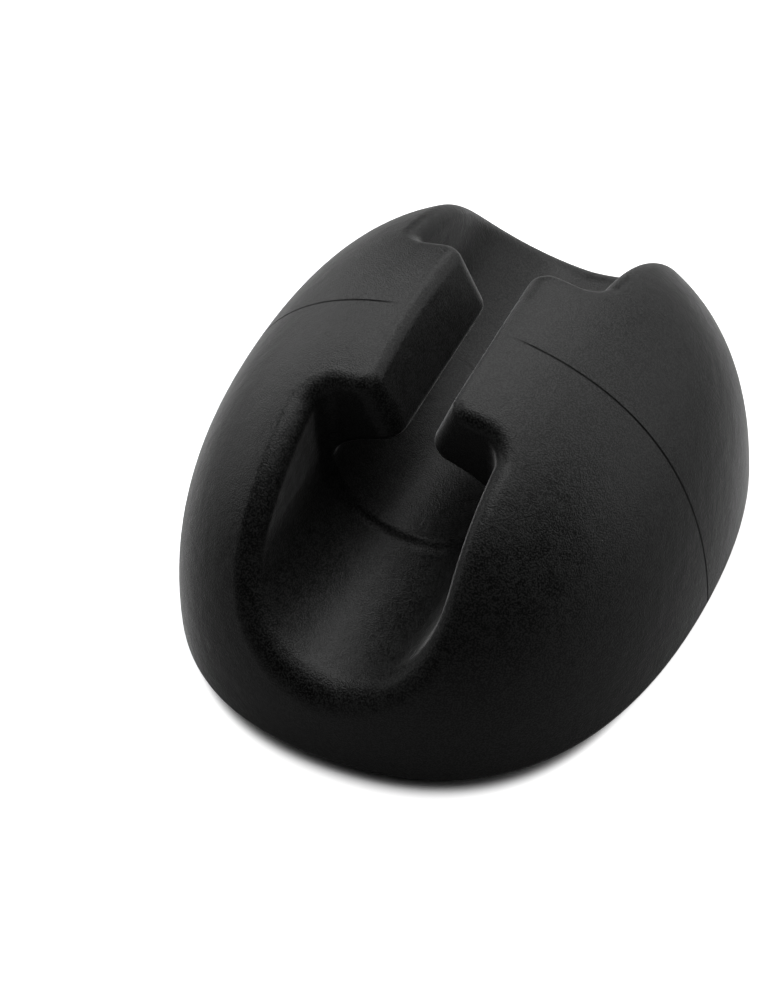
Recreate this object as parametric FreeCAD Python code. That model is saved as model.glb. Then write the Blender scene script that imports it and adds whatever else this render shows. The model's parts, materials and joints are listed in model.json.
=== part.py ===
import FreeCAD, Part
import math
import os
from FreeCAD import Vector

# Adhesive cable clip, millimetres.
# X runs across the cable channel, Y along it and Z up. The origin is the
# middle of the pad's sticky face, so the clip stands on Z = 0.

# rubber moulding, overall
body_width = 28.0
body_length = 35.0
body_height = 16.5
base_edge_round = 0.7

# how far the dome is squarer than an ellipse: 2 is an ellipse, more is fuller
plan_fullness = 2.39
arch_fullness = 2.34

# cable channel: an open mouth at each end, a tunnel under the jaws between them
channel_width = 10.2
channel_floor = 0.325 * body_height
jaw_length = 11.4            # along the cable
tunnel_roof = 0.74 * body_height
tunnel_shoulder = channel_floor + 0.94 * channel_width / 2
tunnel_ledge = 0.04 * channel_width          # how far the tunnel stands in from the mouth

# slot between the jaws, a vee that lets the cable be pressed in from above
slot_top_width = 4.8         # at the crown of the dome
slot_bottom_width = 1.3      # at the jaw tips

# rounds, tied to the width of a jaw or of the channel
jaw_width = (channel_width - slot_top_width) / 2
jaw_front_round = 0.45 * jaw_width           # seen from above
mouth_corner_round = 0.37 * jaw_width        # seen from above
jaw_rim_round = 0.34 * jaw_width             # along the jaws and down the mouth's walls
mouth_rim_round = 0.2 * channel_width        # at the middle of the mouth's round floor
jaw_tip_round = 0.17 * jaw_width
tunnel_corner_round = 0.085 * channel_width

# foam pad in a shallow recess under the base
pad_thickness = 1.0
recess_depth = 0.6
recess_margin = 2.2          # rubber left round the recess
pad_clearance = 0.2          # gap between the pad's edge and the recess wall
pad_proud = pad_thickness - recess_depth


def corner_weight(power):
    # weight of the outer control point that makes a conic arc follow
    # x^power + y^power = 1 at its ends and at its middle
    share = 2 ** (-1 / power)
    return (share - 0.5) / (1 - share)


def quarters():
    # the four quarters of the plan, in order round the middle
    return [(1, 1), (-1, 1), (-1, -1), (1, -1)]


def plan_points():
    # a quarter of the plan outline: position as a share of the half sizes, weight
    return [((1, 0), 1), ((1, 1), corner_weight(plan_fullness)), ((0, 1), 1)]


def quarter_outline(across, along, width, length, height):
    # plan outline in one quarter; across and along are its signs in X and Y
    points = []
    weights = []
    for (x, y), weight in plan_points():
        points.append(Vector(across * x * width / 2, along * y * length / 2, height))
        weights.append(weight)
    curve = Part.BSplineCurve()
    curve.buildFromPolesMultsKnots(points, [3, 3], [0, 1], False, 2, weights)
    return curve.toShape()


def outline_face(width, length, height):
    outlines = [quarter_outline(across, along, width, length, height)
                for across, along in quarters()]
    return Part.Face(Part.Wire(outlines))


def oval_slab(width, length, bottom, thickness):
    return outline_face(width, length, bottom).extrude(Vector(0, 0, thickness))


def skin_patch(across, along, arch):
    # the skin in one quarter; arch lists its upright outline as reach from the
    # middle (a share of the half size), height and weight
    poles = []
    weights = []
    for (x, y), plan_weight in plan_points():
        poles.append([Vector(across * x * reach * body_width / 2,
                             along * y * reach * body_length / 2,
                             height)
                      for reach, height, arch_weight in arch])
        weights.append([plan_weight * arch_weight for reach, height, arch_weight in arch])
    patch = Part.BSplineSurface()
    patch.buildFromPolesMultsKnots(poles, [3, 3], [3, 3], [0, 1], [0, 1],
                                   False, False, 2, 2, weights)
    return patch.toShape()


def dome_skin():
    # upright where it leaves the base round, level at the crown
    arch = [(1, base_edge_round, 1),
            (1, body_height, corner_weight(arch_fullness)),
            (0, body_height, 1)]
    return [skin_patch(across, along, arch) for across, along in quarters()]


def base_share():
    # size of the flat base as a share of the widest outline
    return 1 - 2 * base_edge_round / body_width


def base_round():
    arch = [(base_share(), 0, 1),
            (1, 0, corner_weight(2)),
            (1, base_edge_round, 1)]
    return [skin_patch(across, along, arch) for across, along in quarters()]


def dome():
    flat_base = outline_face(base_share() * body_width, base_share() * body_length, 0)
    shell = Part.makeShell(dome_skin() + base_round() + [flat_base])
    shell.sewShape()
    return Part.makeSolid(shell)


def pulled_along_cable(edges, start, end):
    # a section drawn in the XZ plane, pulled from Y = start to Y = end
    block = Part.Face(Part.Wire(edges)).extrude(Vector(0, end - start, 0))
    block.translate(Vector(0, start, 0))
    return block


def mouth(side):
    # straight walls over a half-round floor, open upwards; the inner end is
    # rounded all the way along the walls and the floor
    wall = channel_width / 2
    bend = channel_floor + wall
    top = 2 * body_height
    left, right = Vector(-wall, 0, bend), Vector(wall, 0, bend)
    left_top, right_top = Vector(-wall, 0, top), Vector(wall, 0, top)
    section = [Part.makeLine(left_top, left),
               Part.Arc(left, Vector(0, 0, channel_floor), right).toShape(),
               Part.makeLine(right, right_top),
               Part.makeLine(right_top, left_top)]
    inner_end = side * jaw_length / 2
    block = pulled_along_cable(section, inner_end, side * body_length)
    corner = [edge for edge in block.Edges
              if abs(edge.CenterOfMass.y - inner_end) < 0.001
              and edge.CenterOfMass.z < top - 0.001]
    return block.makeFillet(mouth_corner_round, corner)


def slot():
    # half width grows evenly from the jaw tips to the crown
    tip = slot_bottom_width / 2
    slope = (slot_top_width / 2 - tip) / (body_height - tunnel_roof)
    low = tunnel_roof - 0.6 * tip / slope
    high = 2 * body_height
    wide = tip + slope * (high - tunnel_roof)
    corners = [Vector(-0.4 * tip, 0, low), Vector(-wide, 0, high),
               Vector(wide, 0, high), Vector(0.4 * tip, 0, low)]
    section = Part.makePolygon(corners + corners[:1]).Edges
    return pulled_along_cable(section, -jaw_length / 2 - 1, jaw_length / 2 + 1)


def tunnel():
    # a half-round floor just inside the mouth's, roofed by the jaws' undersides
    wall = channel_width / 2 - tunnel_ledge
    bend = channel_floor + channel_width / 2
    reach = math.sqrt(wall ** 2 - (bend - tunnel_shoulder) ** 2)
    left, right = Vector(-reach, 0, tunnel_shoulder), Vector(reach, 0, tunnel_shoulder)
    section = [Part.Arc(left, Vector(0, 0, bend - wall), right).toShape(),
               Part.Arc(right, Vector(0, 0, tunnel_roof), left).toShape()]
    block = pulled_along_cable(section, -jaw_length, jaw_length)
    corners = [edge for edge in block.Edges if edge.BoundBox.YLength > jaw_length]
    return block.makeFillet(tunnel_corner_round, corners)


def jaw_front_edges(shape):
    # the steep edges where the slot runs out through the jaws' end faces
    found = []
    for edge in shape.Edges:
        ends = [vertex.Point for vertex in edge.Vertexes]
        if len(ends) < 2 or abs(ends[0].z - ends[1].z) < jaw_width / 4:
            continue
        if all(abs(abs(end.y) - jaw_length / 2) < 0.001 for end in ends):
            found.append(edge)
    return found


def channel():
    # everything the cores leave open, jaw ends already rounded in plan
    opening = slot().fuse([mouth(-1), mouth(1)]).removeSplitter().Solids[0]
    opening = opening.makeFillet(jaw_front_round, jaw_front_edges(opening))
    return opening.fuse(tunnel()).removeSplitter().Solids[0]


def rim_edges(shape):
    # numbers of the edges in the loop where the channel breaks through the dome
    skin = Part.makeCompound(dome_skin())
    found = []
    for number, edge in enumerate(shape.Edges, 1):
        points = edge.discretize(5)
        if all(abs(point.x) < 0.001 or abs(point.y) < 0.001 for point in points):
            continue
        if points[2].z < base_edge_round + 0.001:
            continue
        if all(skin.distToShape(Part.Vertex(point))[0] < 0.001 for point in points):
            found.append(number)
    return found


def rim_round_at(vertex):
    # small along the jaws and the mouth's walls, growing round its floor
    if vertex.Z < channel_floor + 0.001:
        return mouth_rim_round
    return jaw_rim_round


def round_rim(shape):
    # a fillet whose radius is set at both ends of every edge in the loop
    document = FreeCAD.newDocument("rim", hidden=True)
    sharp = document.addObject("Part::Feature", "sharp")
    sharp.Shape = shape
    rounded = document.addObject("Part::Fillet", "rounded")
    rounded.Base = sharp
    rounds = []
    for number in rim_edges(shape):
        edge = shape.Edges[number - 1]
        rounds.append((number, rim_round_at(edge.firstVertex()),
                       rim_round_at(edge.lastVertex())))
    rounded.Edges = rounds
    document.recompute()
    result = rounded.Shape.Solids[0]
    FreeCAD.closeDocument(document.Name)
    return result


def jaw_tip_edges(shape):
    # the straight edge where the slot meets the jaw's underside; its round runs
    # on by itself round the opening of the tunnel
    straight = jaw_length / 2 - jaw_front_round
    found = []
    for edge in shape.Edges:
        box = edge.BoundBox
        if abs(box.YLength - straight) > 0.01 or box.ZLength > 0.01:
            continue
        if 0 < box.Center.x < slot_top_width / 2 and box.ZMax < tunnel_roof:
            found.append(edge)
    return found


def recess():
    return oval_slab(body_width - 2 * recess_margin, body_length - 2 * recess_margin,
                     0, recess_depth)


def first_quarter(shape):
    block = Part.makeBox(body_width, body_length, 2 * body_height, Vector(0, 0, -1))
    return shape.common(block).Solids[0]


def mirrored(shape):
    # a quarter and its mirror images, joined
    for normal in [Vector(1, 0, 0), Vector(0, 1, 0)]:
        shape = shape.fuse(shape.mirror(Vector(0, 0, 0), normal)).removeSplitter().Solids[0]
    return shape


def clip_body():
    # rounded as one quarter, so that the four corners come out alike
    quarter = first_quarter(dome().cut([channel(), recess()]))
    quarter = round_rim(quarter)
    quarter = quarter.makeFillet(jaw_tip_round, jaw_tip_edges(quarter)).Solids[0]
    body = mirrored(quarter)
    body.translate(Vector(0, 0, pad_proud))
    return body


def adhesive_pad():
    inset = 2 * (recess_margin + pad_clearance)
    return oval_slab(body_width - inset, body_length - inset, 0, pad_thickness)


def write_part():
    os.makedirs("parts", exist_ok=True)
    clip_body().exportStep("parts/clip_body.step")
    adhesive_pad().exportStep("parts/adhesive_pad.step")


if __name__ == "__main__":
    write_part()
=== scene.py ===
import json
import math

import bmesh
import bpy
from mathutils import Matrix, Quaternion, Vector, noise as noiseTools

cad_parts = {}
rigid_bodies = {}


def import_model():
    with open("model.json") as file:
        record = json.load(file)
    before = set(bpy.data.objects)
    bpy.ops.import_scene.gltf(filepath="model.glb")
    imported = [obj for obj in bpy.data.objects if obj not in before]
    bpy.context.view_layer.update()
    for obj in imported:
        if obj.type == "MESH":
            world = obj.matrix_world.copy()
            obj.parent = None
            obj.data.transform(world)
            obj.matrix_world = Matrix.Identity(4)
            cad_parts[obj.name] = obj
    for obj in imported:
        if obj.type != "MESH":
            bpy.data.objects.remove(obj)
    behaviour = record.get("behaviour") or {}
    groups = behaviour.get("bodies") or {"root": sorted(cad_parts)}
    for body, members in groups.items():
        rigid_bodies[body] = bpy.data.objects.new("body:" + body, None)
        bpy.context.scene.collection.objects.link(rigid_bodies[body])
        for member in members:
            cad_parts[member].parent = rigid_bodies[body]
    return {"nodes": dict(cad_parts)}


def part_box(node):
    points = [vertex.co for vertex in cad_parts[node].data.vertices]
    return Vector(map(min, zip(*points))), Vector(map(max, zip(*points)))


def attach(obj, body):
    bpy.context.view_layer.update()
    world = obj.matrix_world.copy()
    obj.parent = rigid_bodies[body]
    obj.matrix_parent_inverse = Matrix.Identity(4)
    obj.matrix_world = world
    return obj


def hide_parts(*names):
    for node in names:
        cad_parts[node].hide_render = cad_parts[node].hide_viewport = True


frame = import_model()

mm = 0.001
tolerance = {"merge": 1e-6, "cut": 1e-8, "place": 1e-7}      # metres
scene = bpy.context.scene
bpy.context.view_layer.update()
print("frame loaded:", ", ".join(sorted(frame["nodes"])))


# small helpers for node trees

def newMaterial(name):
    material = bpy.data.materials.new(name)
    material.use_nodes = True
    material.node_tree.nodes.clear()
    return material


def addNode(tree, kind, inputs=None, **settings):
    node = tree.nodes.new(kind)
    for name, value in settings.items():
        setattr(node, name, value)
    for name, value in (inputs or {}).items():
        node.inputs[name].default_value = value
    return node


def mathNode(tree, operation, *values):
    # values are sockets or plain numbers
    node = addNode(tree, "ShaderNodeMath", operation=operation)
    for index, value in enumerate(values):
        if isinstance(value, (int, float)):
            node.inputs[index].default_value = value
        else:
            tree.links.new(value, node.inputs[index])
    return node.outputs[0]


def rangeNode(tree, value, fromLow, fromHigh, toLow=0.0, toHigh=1.0, smooth=True):
    node = addNode(tree, "ShaderNodeMapRange",
                   {"From Min": fromLow, "From Max": fromHigh, "To Min": toLow, "To Max": toHigh},
                   interpolation_type="SMOOTHSTEP" if smooth else "LINEAR")
    tree.links.new(value, node.inputs["Value"])
    return node.outputs["Result"]


def mixColour(tree, factor, first, second):
    # first and second are sockets or (r, g, b)
    node = addNode(tree, "ShaderNodeMix", data_type="RGBA")
    tree.links.new(factor, node.inputs["Factor"])
    for name, value in [("A", first), ("B", second)]:
        socket = next(s for s in node.inputs if s.name == name and s.type == "RGBA")
        if isinstance(value, tuple):
            socket.default_value = (*value, 1.0)
        else:
            tree.links.new(value, socket)
    return next(s for s in node.outputs if s.type == "RGBA")


def noise(tree, place, size, detail=2.0):
    # size is the width of one blot, in metres
    node = addNode(tree, "ShaderNodeTexNoise", {"Scale": 1.0 / size, "Detail": detail})
    tree.links.new(place, node.inputs["Vector"])
    return node.outputs["Fac"]


def cellNoise(tree, place, size):
    node = addNode(tree, "ShaderNodeTexVoronoi", {"Scale": 1.0 / size})
    tree.links.new(place, node.inputs["Vector"])
    return node


def bump(tree, height, depth, strength=1.0, before=None):
    node = addNode(tree, "ShaderNodeBump", {"Strength": strength, "Distance": depth})
    tree.links.new(height, node.inputs["Height"])
    if before is not None:
        tree.links.new(before, node.inputs["Normal"])
    return node.outputs["Normal"]


def objectPlace(tree):
    return addNode(tree, "ShaderNodeTexCoord").outputs["Object"]


def seenByCamera(tree):
    return addNode(tree, "ShaderNodeLightPath").outputs["Is Camera Ray"]


def split(tree, vector):
    node = addNode(tree, "ShaderNodeSeparateXYZ")
    tree.links.new(vector, node.inputs[0])
    return node.outputs["X"], node.outputs["Y"], node.outputs["Z"]


def smoothStep(value, low, high):
    share = min(max((value - low) / (high - low), 0.0), 1.0)
    return share * share * (3 - 2 * share)


def wave(point, length):
    # smooth noise from 0 to 1, with waves of this length
    return 0.5 + 0.5 * noiseTools.noise(point / length)


crispAngle = 35                    # edges bent more than this stay crisp


def putInScene(name, shape, material):
    # shape is a finished bmesh
    mesh = bpy.data.meshes.new(name)
    shape.to_mesh(mesh)
    shape.free()
    for face in mesh.polygons:
        face.use_smooth = True
    mesh.set_sharp_from_angle(angle=math.radians(crispAngle))
    mesh.materials.append(material)
    piece = bpy.data.objects.new(name, mesh)
    scene.collection.objects.link(piece)
    return piece


# the rubber moulding

rubberLook = {
    "colour": (0.0230, 0.0237, 0.0232),
    "darkBlot": (0.0005, 0.0005, 0.0005),
    "roughness": (0.30, 0.48),
    "roughnessRange": (0.3, 0.7),  # of the mixed blots
    "pepperSize": 0.085 * mm,      # fine pepper, in the colour only
    "pepperEdge": (0.45, 0.62),
    "pepperShare": 0.55,
    "grainSize": 0.085 * mm,
    "grainDepth": 0.025 * mm,
    "grainShare": 0.60,
    "blotSize": 0.8 * mm,
    "blotDepth": 0.030 * mm,
    "blotShare": 0.24,
    "cloudSize": 6 * mm,
    "cloudShare": 0.16,
    "contrast": (0.38, 0.62),      # a narrower range gives harder blots
    "specular": 0.30,
    "sheen": 0.80,
    "sheenRoughness": 0.25,
}

# the mould's parting line, a fine groove over the middle of the dome
partingLine = {
    "halfWidth": 0.075 * mm,
    "halfFloor": 0.042 * mm,
    "depth": 0.08 * mm,
    "foot": (0.5 * mm, 1.0 * mm),  # it runs out just above the base
    "uneven": 0.35,                # share of the depth that comes and goes
    "unevenLength": 1.6 * mm,
    "fadeIn": (0.14, 0.26),        # by how far the skin leans outwards
    # painted shade: the groove's colour, and how far it is darkened on the outer skin
    "colour": (0.003, 0.003, 0.003),
    "paintedShade": 0.9,
    "paintedShadeWidth": 1.2,             # as a share of the groove's own
}

dust = {
    "spacing": 1.75 * mm,
    "size": (0.025 * mm, 0.06 * mm),
    "colour": (0.20, 0.20, 0.19),
    "share": 0.35,                 # of the cells hold a speck
    "cover": 0.8,
    "solid": 0.5,                  # share of a speck's reach before it thins out
}


def rubberTone(tree, place, grain, blots):
    # the mixed blots, and how pale the colour is at each place
    look = rubberLook
    pepper = rangeNode(tree, noise(tree, place, look["pepperSize"], 0.0), *look["pepperEdge"])
    clouds = noise(tree, place, look["cloudSize"], 1.0)
    mixed = mathNode(tree, "MULTIPLY", blots, look["blotShare"])
    mixed = mathNode(tree, "MULTIPLY_ADD", grain, look["grainShare"], mixed)
    mixed = mathNode(tree, "MULTIPLY_ADD", clouds, look["cloudShare"], mixed)
    tone = rangeNode(tree, mixed, *look["contrast"])
    tone = mathNode(tree, "MULTIPLY", tone, 1 - look["pepperShare"])
    return mixed, mathNode(tree, "MULTIPLY_ADD", pepper, look["pepperShare"], tone)


def linePaintedShade(tree, place):
    # painted shade in the parting line's groove, on the outer skin only
    x, y = split(tree, place)[:2]
    normalX = split(tree, addNode(tree, "ShaderNodeTexCoord").outputs["Normal"])[0]
    outward = mathNode(tree, "MULTIPLY", normalX, mathNode(tree, "SIGN", x))
    skin = rangeNode(tree, outward, *partingLine["fadeIn"])
    line = rangeNode(tree, mathNode(tree, "ABSOLUTE", y),
                     partingLine["halfFloor"],
                     partingLine["halfWidth"] * partingLine["paintedShadeWidth"], 1.0, 0.0)
    return mathNode(tree, "MULTIPLY", mathNode(tree, "MULTIPLY", line, skin), partingLine["paintedShade"])


def dustSpecks(tree, place, grain):
    # a few pale specks of uneven size with a ragged edge
    cells = cellNoise(tree, place, dust["spacing"])
    pick = addNode(tree, "ShaderNodeSeparateColor")
    tree.links.new(cells.outputs["Color"], pick.inputs[0])
    small, big = (size / dust["spacing"] for size in dust["size"])
    reach = rangeNode(tree, pick.outputs[1], 0.0, 1.0, small, big, smooth=False)
    # the grain is 0.5 on average, so this leaves the size as it is
    ragged = mathNode(tree, "MULTIPLY", cells.outputs["Distance"],
                      mathNode(tree, "ADD", grain, 0.5))
    near = rangeNode(tree, mathNode(tree, "DIVIDE", ragged, reach),
                     dust["solid"], 1.0, 1.0, 0.0)
    chosen = mathNode(tree, "LESS_THAN", pick.outputs[0], dust["share"])
    return mathNode(tree, "MULTIPLY", mathNode(tree, "MULTIPLY", near, chosen), dust["cover"])


def makeRubber():
    material = newMaterial("rubber")
    tree = material.node_tree
    output = addNode(tree, "ShaderNodeOutputMaterial")
    rubber = addNode(tree, "ShaderNodeBsdfPrincipled", {
        "Specular IOR Level": rubberLook["specular"],
        "Sheen Weight": rubberLook["sheen"],
        "Sheen Roughness": rubberLook["sheenRoughness"],
    })
    tree.links.new(rubber.outputs["BSDF"], output.inputs["Surface"])
    place = objectPlace(tree)
    grain = noise(tree, place, rubberLook["grainSize"], 1.0)
    blots = noise(tree, place, rubberLook["blotSize"])

    mixed, tone = rubberTone(tree, place, grain, blots)
    colour = mixColour(tree, tone, rubberLook["darkBlot"], rubberLook["colour"])
    # painted shade: the parting line's groove darkened in the colour
    colour = mixColour(tree, linePaintedShade(tree, place), colour, partingLine["colour"])
    colour = mixColour(tree, dustSpecks(tree, place, grain), colour, dust["colour"])
    tree.links.new(colour, rubber.inputs["Base Color"])

    roughness = rangeNode(tree, mixed, *rubberLook["roughnessRange"],
                          *rubberLook["roughness"], smooth=False)
    tree.links.new(roughness, rubber.inputs["Roughness"])
    normal = bump(tree, grain, rubberLook["grainDepth"])
    normal = bump(tree, blots, rubberLook["blotDepth"], before=normal)
    tree.links.new(normal, rubber.inputs["Normal"])
    return material


def leanOut(point, normal):
    # 1 where the skin faces away from the channel, below 0 inside it
    return math.copysign(1, point.x) * normal.x


def cutPartingLine(shape, smooth):
    # loops round the body along the groove's edges and its floor, the floor sunk
    wide, narrow = partingLine["halfWidth"], partingLine["halfFloor"]
    for along in [-wide, -narrow, narrow, wide]:
        everything = shape.verts[:] + shape.edges[:] + shape.faces[:]
        bmesh.ops.bisect_plane(shape, geom=everything, dist=tolerance["cut"],
                               plane_co=(0, along, 0), plane_no=(0, 1, 0))
    for vertex in shape.verts:
        if abs(vertex.co.y) > narrow + tolerance["place"]:
            continue
        normal = vertex[smooth].normalized()
        share = smoothStep(leanOut(vertex.co, normal), *partingLine["fadeIn"])
        share *= smoothStep(vertex.co.z, *partingLine["foot"])
        share *= 1 - partingLine["uneven"] * wave(vertex.co, partingLine["unevenLength"])
        vertex.co -= normal * (partingLine["depth"] * share)


# the base and the lower part of its round keep plain normals
baseEdge = {
    "flat": 0.05 * mm,             # heights above the moulding's lowest point
    "round": 0.65 * mm,
    "lean": -0.2,                  # the round leans under from here
}


def isUnderneath(face, height):
    # height of the face above the moulding's lowest point
    leansUnder = face.normal.z < baseEdge["lean"]
    return height < baseEdge["flat"] or (height < baseEdge["round"] and leansUnder)


def skinNormals(mesh):
    # the uncut skin's normals on every face above the base but the groove's own,
    # so that the narrow faces beside the groove don't show
    kept = mesh.attributes["smoothNormal"].data
    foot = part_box("clip_body")[0][2]
    edge = partingLine["halfWidth"] + tolerance["place"]
    normals = []
    for face in mesh.polygons:
        corners = [mesh.vertices[index].co for index in face.vertices]
        smooth = [Vector(kept[index].vector).normalized() for index in face.vertices]
        inGroove = max(abs(corner.y) for corner in corners) < edge
        onSkin = max(map(leanOut, corners, smooth)) > partingLine["fadeIn"][0]
        height = min(corner.z for corner in corners) - foot
        plain = (inGroove and onSkin) or isUnderneath(face, height)
        normals += [Vector()] * len(corners) if plain else smooth
    mesh.normals_split_custom_set(normals)


def makeBody():
    shape = bmesh.new()
    shape.from_mesh(frame["nodes"]["clip_body"].data)
    bmesh.ops.remove_doubles(shape, verts=shape.verts[:], dist=tolerance["merge"])
    shape.normal_update()
    smooth = shape.verts.layers.float_vector.new("smoothNormal")
    for vertex in shape.verts:
        # large faces count for more, so that they stay even beside a narrow round
        weighted = [face.normal * face.calc_area() for face in vertex.link_faces]
        vertex[smooth] = sum(weighted, Vector()).normalized()
    cutPartingLine(shape, smooth)
    body = putInScene("rubberBody", shape, makeRubber())
    skinNormals(body.data)
    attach(body, "root")
    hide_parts("clip_body")
    print("rubber body:", len(body.data.polygons), "faces")


# the foam pad under the base

foamLook = {
    "colour": (0.56, 0.56, 0.54),
    # painted shade: the darker colour in the foam's cell pits
    "pitShadeColour": (0.38, 0.38, 0.365),
    "cellSize": 0.22 * mm,
    "cellEdge": (0.1, 0.6),
    "cellDepth": 0.06 * mm,
    "cellStrength": 0.8,
    "filmColour": (0.66, 0.66, 0.63),
    "specular": 0.35,
    "roughness": 0.85,
    "filmRoughness": 0.28,
    "filmThickness": 0.06 * mm,
    "filmInset": 0.05 * mm,        # the films stand back from the cut foam
    "filmEdge": 0.02 * mm,         # how much their edge is eased
    "streakSize": 2.5 * mm,
    "streakEdge": (0.35, 0.65),
    "streakFilm": (0.75, 1.0),     # how much film there is in and beside a streak
    "streakDepth": 0.03 * mm,
    "streakStrength": 0.3,
    "bulge": 0.04 * mm,            # the foam's cut side swells a little
    "shoulder": 0.4,               # share of the swell still to come near the films
    "waviness": 0.03 * mm,
    "waveLength": 1.8 * mm,
    "fullness": 2.39,              # 2 would be an ellipse
    "steps": 288,
}


def makeFoam():
    look = foamLook
    material = newMaterial("foamTape")
    tree = material.node_tree
    output = addNode(tree, "ShaderNodeOutputMaterial")
    foam = addNode(tree, "ShaderNodeBsdfPrincipled", {"Specular IOR Level": look["specular"]})
    tree.links.new(foam.outputs["BSDF"], output.inputs["Surface"])
    place = objectPlace(tree)
    cells = cellNoise(tree, place, look["cellSize"])
    pits = rangeNode(tree, cells.outputs["Distance"], *look["cellEdge"])
    wide = noise(tree, place, look["streakSize"])
    # painted shade: the cell pits that the bump sinks are darker in colour
    colour = mixColour(tree, pits, look["pitShadeColour"], look["colour"])

    # the sticky film on the underside is smoother and a little paler
    z = split(tree, place)[2]
    film = rangeNode(tree, z, look["filmThickness"] * 0.9, look["filmThickness"] * 1.1, 1.0, 0.0)
    streaks = rangeNode(tree, wide, *look["streakEdge"], *look["streakFilm"])
    filmShare = mathNode(tree, "MULTIPLY", film, streaks)
    colour = mixColour(tree, filmShare, colour, look["filmColour"])
    tree.links.new(colour, foam.inputs["Base Color"])
    roughness = rangeNode(tree, filmShare, 0.0, 1.0, look["roughness"], look["filmRoughness"],
                          smooth=False)
    tree.links.new(roughness, foam.inputs["Roughness"])
    height = mathNode(tree, "MULTIPLY", pits, mathNode(tree, "SUBTRACT", 1.0, filmShare))
    normal = bump(tree, height, look["cellDepth"], look["cellStrength"])
    normal = bump(tree, wide, look["streakDepth"], look["streakStrength"], normal)
    tree.links.new(normal, foam.inputs["Normal"])
    return material


def padOutline(halfWidth, halfLength, steps):
    # a quarter of the outline is a conic arc whose corner weight makes it fuller
    # than an ellipse; the other quarters are the same arc turned and scaled
    share = 2 ** (-1 / foamLook["fullness"])
    weight = (share - 0.5) / (1 - share)
    points = []
    for step in range(steps):
        quarter, t = divmod(4.0 * step / steps, 1.0)
        first, middle, last = (1 - t) ** 2, 2 * t * (1 - t) * weight, t ** 2
        total = first + middle + last
        out, up = (first + middle) / total, (middle + last) / total
        turned = [(out, up), (-up, out), (-out, -up), (up, -out)][int(quarter)]
        points.append(Vector((turned[0] * halfWidth, turned[1] * halfLength, 0)))
    return points


def padRings(bottom, top):
    # height of each ring and how far it stands back from the outline
    film, inset, eased = foamLook["filmThickness"], foamLook["filmInset"], foamLook["filmEdge"]
    bulge = foamLook["bulge"]
    lower = [(bottom, inset + eased),
             (bottom + eased, inset),
             (bottom + film, inset),
             (bottom + film, bulge),
             (bottom + 2 * film, bulge * foamLook["shoulder"])]
    middle = [(bottom + share * (top - bottom), 0.0) for share in [0.3, 0.5, 0.7]]
    upper = [(bottom + top - height, back) for height, back in reversed(lower)]
    return lower + middle + upper


def makePad():
    low, high = map(Vector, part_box("adhesive_pad"))
    halfWidth, halfLength = (high.x - low.x) / 2, (high.y - low.y) / 2
    steps = foamLook["steps"]
    shape = bmesh.new()
    loops = []
    for height, inset in padRings(low.z, high.z):
        loop = []
        for point in padOutline(halfWidth - inset, halfLength - inset, steps):
            pull = wave(point, foamLook["waveLength"])
            point -= point.normalized() * foamLook["waviness"] * pull
            loop.append(shape.verts.new((point.x, point.y, height)))
        loops.append(loop)
    for lower, upper in zip(loops, loops[1:]):
        for step in range(steps):
            after = (step + 1) % steps
            shape.faces.new([lower[step], lower[after], upper[after], upper[step]])
    shape.faces.new(loops[0][::-1])
    shape.faces.new(loops[-1])
    pad = putInScene("foamPad", shape, makeFoam())
    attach(pad, "root")
    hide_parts("adhesive_pad")
    print("foam pad:", len(pad.data.polygons), "faces")


makeBody()
makePad()


# floor and room

floorLook = {
    "size": 1.6,                   # metres
    "colour": (0.30, 0.30, 0.30),
    "seenColour": (0.90, 0.90, 0.90),
    "seenGlow": 0.88,              # lifts the floor to white in the picture
    "roomLight": 0.005,
    # how far the shadow at the foot reaches at least, and on the side that
    # faces away from the light
    "contact": (0.50 * mm, 1.25 * mm),
    "contactAzimuth": 10,
    "contactSpread": 54,
    "contactTone": (0.36, 0.95),
    "contactSamples": 16,
}


def contactShadow(tree):
    # longest in one direction from the middle, with its share falling off to the sides
    around = math.radians(floorLook["contactAzimuth"])
    away = addNode(tree, "ShaderNodeVectorMath", operation="NORMALIZE")
    tree.links.new(objectPlace(tree), away.inputs[0])
    facing = addNode(tree, "ShaderNodeVectorMath", operation="DOT_PRODUCT")
    tree.links.new(away.outputs["Vector"], facing.inputs[0])
    facing.inputs[1].default_value = (math.sin(around), -math.cos(around), 0)
    share = rangeNode(tree, facing.outputs["Value"],
                      math.cos(math.radians(floorLook["contactSpread"])), 1.0, smooth=False)
    share = mathNode(tree, "MULTIPLY", share, share)
    least, most = floorLook["contact"]
    occlusion = addNode(tree, "ShaderNodeAmbientOcclusion",
                        samples=floorLook["contactSamples"])
    tree.links.new(rangeNode(tree, share, 0.0, 1.0, least, most, smooth=False),
                   occlusion.inputs["Distance"])
    return rangeNode(tree, occlusion.outputs["AO"], *floorLook["contactTone"])


def makeFloor():
    shape = bmesh.new()
    half = floorLook["size"] / 2
    corners = [(-half, -half), (half, -half), (half, half), (-half, half)]
    shape.faces.new([shape.verts.new((x, y, 0)) for x, y in corners])
    material = newMaterial("paleFloor")
    tree = material.node_tree
    output = addNode(tree, "ShaderNodeOutputMaterial")
    card = addNode(tree, "ShaderNodeBsdfDiffuse")
    glow = addNode(tree, "ShaderNodeEmission", {"Color": (1, 1, 1, 1)})
    seen = seenByCamera(tree)
    tree.links.new(mixColour(tree, seen, floorLook["colour"], floorLook["seenColour"]),
                   card.inputs["Color"])
    strength = mathNode(tree, "MULTIPLY", contactShadow(tree), floorLook["seenGlow"])
    tree.links.new(mathNode(tree, "MULTIPLY", strength, seen), glow.inputs["Strength"])
    both = addNode(tree, "ShaderNodeAddShader")
    tree.links.new(card.outputs[0], both.inputs[0])
    tree.links.new(glow.outputs[0], both.inputs[1])
    tree.links.new(both.outputs[0], output.inputs["Surface"])
    putInScene("floor", shape, material)


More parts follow.
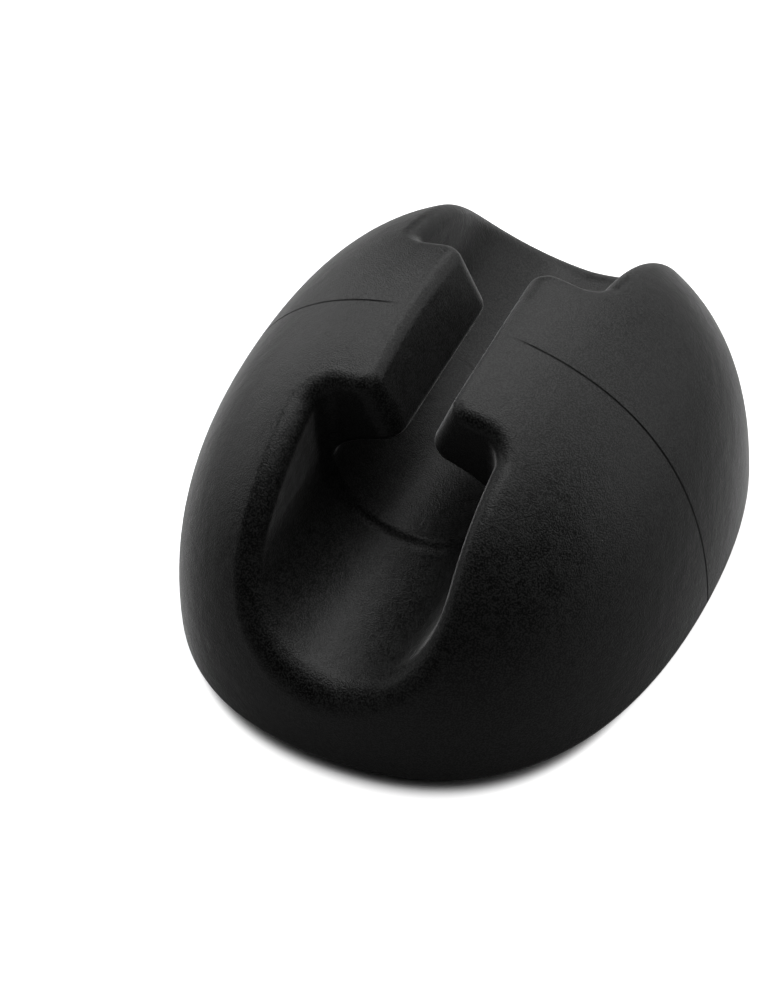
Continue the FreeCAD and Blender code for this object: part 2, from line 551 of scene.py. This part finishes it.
def makeRoom():
    world = bpy.data.worlds.new("room")
    world.use_nodes = True
    tree = world.node_tree
    tree.nodes.clear()
    output = addNode(tree, "ShaderNodeOutputWorld")
    air = addNode(tree, "ShaderNodeBackground", {"Color": (1, 1, 1, 1)})
    seen = seenByCamera(tree)
    tree.links.new(rangeNode(tree, seen, 0.0, 1.0, floorLook["roomLight"], 1.0, smooth=False),
                   air.inputs["Strength"])
    tree.links.new(air.outputs[0], output.inputs["Surface"])
    scene.world = world


makeFloor()
makeRoom()

# soft round lamps on a ring round the clip, most of the light from behind it
lampRing = {
    "lampSize": 0.16,              # metres, as the distance is
    "distance": 0.30,
    "middle": (0, 0, 8 * mm),
}
lamps = {
    "backHigh": {"azimuth": 180, "elevation": 68, "power": 0.210},
    "leftHigh": {"azimuth": -90, "elevation": 68, "power": 0.195},
    "rightHigh": {"azimuth": 90, "elevation": 68, "power": 0.100},
    "back": {"azimuth": 180, "elevation": 40, "power": 0.160},
    "backLeft": {"azimuth": -135, "elevation": 40, "power": 0.190},
    "backRight": {"azimuth": 135, "elevation": 40, "power": 0.120},
    "leftLow": {"azimuth": -90, "elevation": 12, "power": 0.085},
    "backLeftLow": {"azimuth": -120, "elevation": 12, "power": 0.112},
    "backLow": {"azimuth": 180, "elevation": 12, "power": 0.050},
    "backRightLow": {"azimuth": 150, "elevation": 12, "power": 0.047},
    "rightLow": {"azimuth": 120, "elevation": 12, "power": 0.100},
}


def directionTo(azimuth, elevation):
    # azimuth 0 is the -Y side, 90 the +X side
    around = math.radians(azimuth)
    up = math.radians(elevation)
    return Vector((math.sin(around) * math.cos(up),
                   -math.cos(around) * math.cos(up),
                   math.sin(up)))


def makeLamps():
    for name, lamp in lamps.items():
        data = bpy.data.lights.new(name, "AREA")
        data.shape = "DISK"
        data.size = lampRing["lampSize"]
        data.energy = lamp["power"]
        away = directionTo(lamp["azimuth"], lamp["elevation"])
        holder = bpy.data.objects.new(name, data)
        holder.location = Vector(lampRing["middle"]) + away * lampRing["distance"]
        holder.rotation_mode = "QUATERNION"
        holder.rotation_quaternion = away.to_track_quat("Z", "Y")
        scene.collection.objects.link(holder)


makeLamps()
print("floor, room and lamps set")


photoCamera = {
    "eye": (63.19 * mm, -121.44 * mm, 151.89 * mm),
    "back": (0.33354, -0.59107, 0.73443),     # from the clip towards the camera
    "roll": -4.82,
    "lens": 135.92,
    "sensor": 36,
    "clip": (0.01, 10),            # metres
}


def makeCamera():
    data = bpy.data.cameras.new("photoCamera")
    data.lens = photoCamera["lens"]
    data.sensor_width = photoCamera["sensor"]
    data.clip_start, data.clip_end = photoCamera["clip"]
    camera = bpy.data.objects.new("photoCamera", data)
    camera.location = photoCamera["eye"]
    camera.rotation_mode = "QUATERNION"
    level = Vector(photoCamera["back"]).to_track_quat("Z", "Y")
    roll = Quaternion((0, 0, 1), math.radians(photoCamera["roll"]))
    camera.rotation_quaternion = level @ roll
    scene.collection.objects.link(camera)
    scene.camera = camera


makeCamera()
scene.view_settings.view_transform = "Standard"

print("scene ready")
